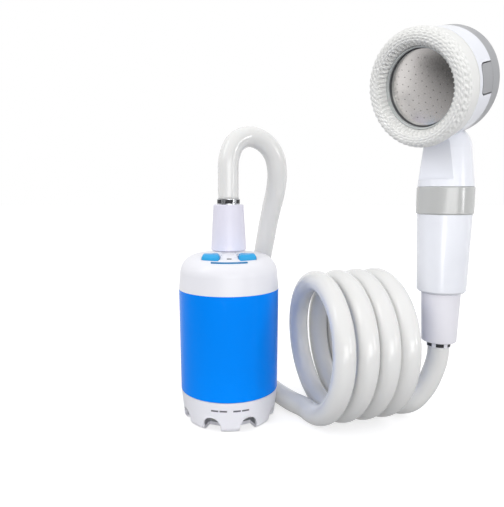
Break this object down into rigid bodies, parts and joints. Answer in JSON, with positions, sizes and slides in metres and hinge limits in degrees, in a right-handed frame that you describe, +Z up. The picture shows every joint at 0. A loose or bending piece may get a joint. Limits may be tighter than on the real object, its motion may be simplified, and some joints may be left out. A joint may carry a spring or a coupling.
{
  "type": "camp shower pump",
  "caption": "Battery camp shower: round bucket pump with arched inlets and two keys, coiled hose, and a hand shower with a knurled ring and metal spray plate",
  "frame": {"origin": "centre of the pump's underside, on the floor", "axes": "+Z up along the pump's axis, -Y toward the viewer of the picture, +X toward the handset"},
  "size_m": [0.2101, 0.1462, 0.2757],
  "materials": {
    "blue_plastic": "glossy moulded",
    "white_plastic": "glossy moulded",
    "lavender_plastic": "satin moulded",
    "ivory_plastic": "knurled, satin",
    "grey_plastic": "satin moulded",
    "cover_plastic": "satin moulded",
    "dark_plastic": "moulded",
    "smoke_plastic": "clear dark lens",
    "key_rubber": "soft moulded",
    "black_rubber": "moulded",
    "hose_vinyl": "glossy soft vinyl",
    "chrome": "plated",
    "steel": "turned",
    "plate_steel": "fine brushed, domed",
    "board": "coated laminate",
    "cell_wrap": "shrink film"
  },
  "bodies": {
    "pump": {"body_shell": "blue_plastic", "top_cap": "white_plastic", "top_seal": "black_rubber", "outlet_fitting": "white_plastic", "riser_pipe": "grey_plastic", "chassis_plate": "dark_plastic", "chassis_lid": "dark_plastic", "cell_left": "cell_wrap", "cell_right": "cell_wrap", "motor_can": "steel", "shaft_seal": "black_rubber", "volute_housing": "dark_plastic", "volute_cover": "dark_plastic", "volute_screws": "steel", "control_board": "board", "tact_switches": "dark_plastic", "button_trim": "blue_plastic", "indicator_lens": "smoke_plastic", "charge_socket": "dark_plastic", "pump_washer": "black_rubber", "pump_ferrule": "chrome", "hose_riser": "hose_vinyl", "hose_coil": "hose_vinyl", "hose_tail": "hose_vinyl", "handset_ferrule": "chrome"},
    "impeller": {"impeller": "dark_plastic", "motor_shaft": "steel"},
    "base": {"strainer_base": "white_plastic", "strainer_screen": "grey_plastic"},
    "power_button": {"power_button": "key_rubber"},
    "mode_button": {"mode_button": "key_rubber"},
    "charge_plug": {"charge_plug": "black_rubber"},
    "pump_nut": {"pump_nut": "lavender_plastic"},
    "handset": {"handset_washer": "black_rubber", "handle_shell": "white_plastic", "handle_tube": "grey_plastic", "handle_band": "grey_plastic", "head_housing": "white_plastic", "rear_cover": "cover_plastic", "face_seal": "black_rubber", "spray_distributor": "grey_plastic", "face_plate": "plate_steel", "face_trim": "grey_plastic"},
    "handset_nut": {"handset_nut": "lavender_plastic"},
    "face_ring": {"face_ring": "ivory_plastic"}
  },
  "joints": [
    {"name": "power_press", "type": "slide", "parent": "pump", "child": "power_button", "axis": [0, 0, -1], "range_m": [0, 0.0012], "stiffness_N_per_m": 900, "springref_m": -0.001},
    {"name": "mode_press", "type": "slide", "parent": "pump", "child": "mode_button", "axis": [0, 0, -1], "range_m": [0, 0.0012], "stiffness_N_per_m": 900, "springref_m": -0.001},
    {"name": "impeller_spin", "type": "hinge", "parent": "pump", "child": "impeller", "pos_m": [0, 0, 0.02], "axis": [0, 0, 1], "continuous": true},
    {"name": "base_twist", "type": "hinge", "parent": "pump", "child": "base", "pos_m": [0, 0, 0.02], "axis": [0, 0, 1], "range_deg": [0, 20]},
    {"name": "charge_pull", "type": "slide", "parent": "pump", "child": "charge_plug", "axis": [-0.0576, 0.9983, 0], "range_m": [0, 0.008]},
    {"name": "pump_nut_turn", "type": "hinge", "parent": "pump", "child": "pump_nut", "pos_m": [0, 0, 0.14], "axis": [0, 0, 1], "continuous": true},
    {"name": "handset_swivel", "type": "hinge", "parent": "pump", "child": "handset", "pos_m": [0.1525, -0.01, 0.075], "axis": [0, 0, 1], "continuous": true},
    {"name": "handset_nut_turn", "type": "hinge", "parent": "handset", "child": "handset_nut", "pos_m": [0.1525, -0.01, 0.078], "axis": [0, 0, 1], "continuous": true},
    {"name": "face_ring_turn", "type": "hinge", "parent": "handset", "child": "face_ring", "pos_m": [0.1525, -0.01, 0.2423], "axis": [-0.7777, -0.565, -0.2756], "range_deg": [0, 60]}
  ]
}
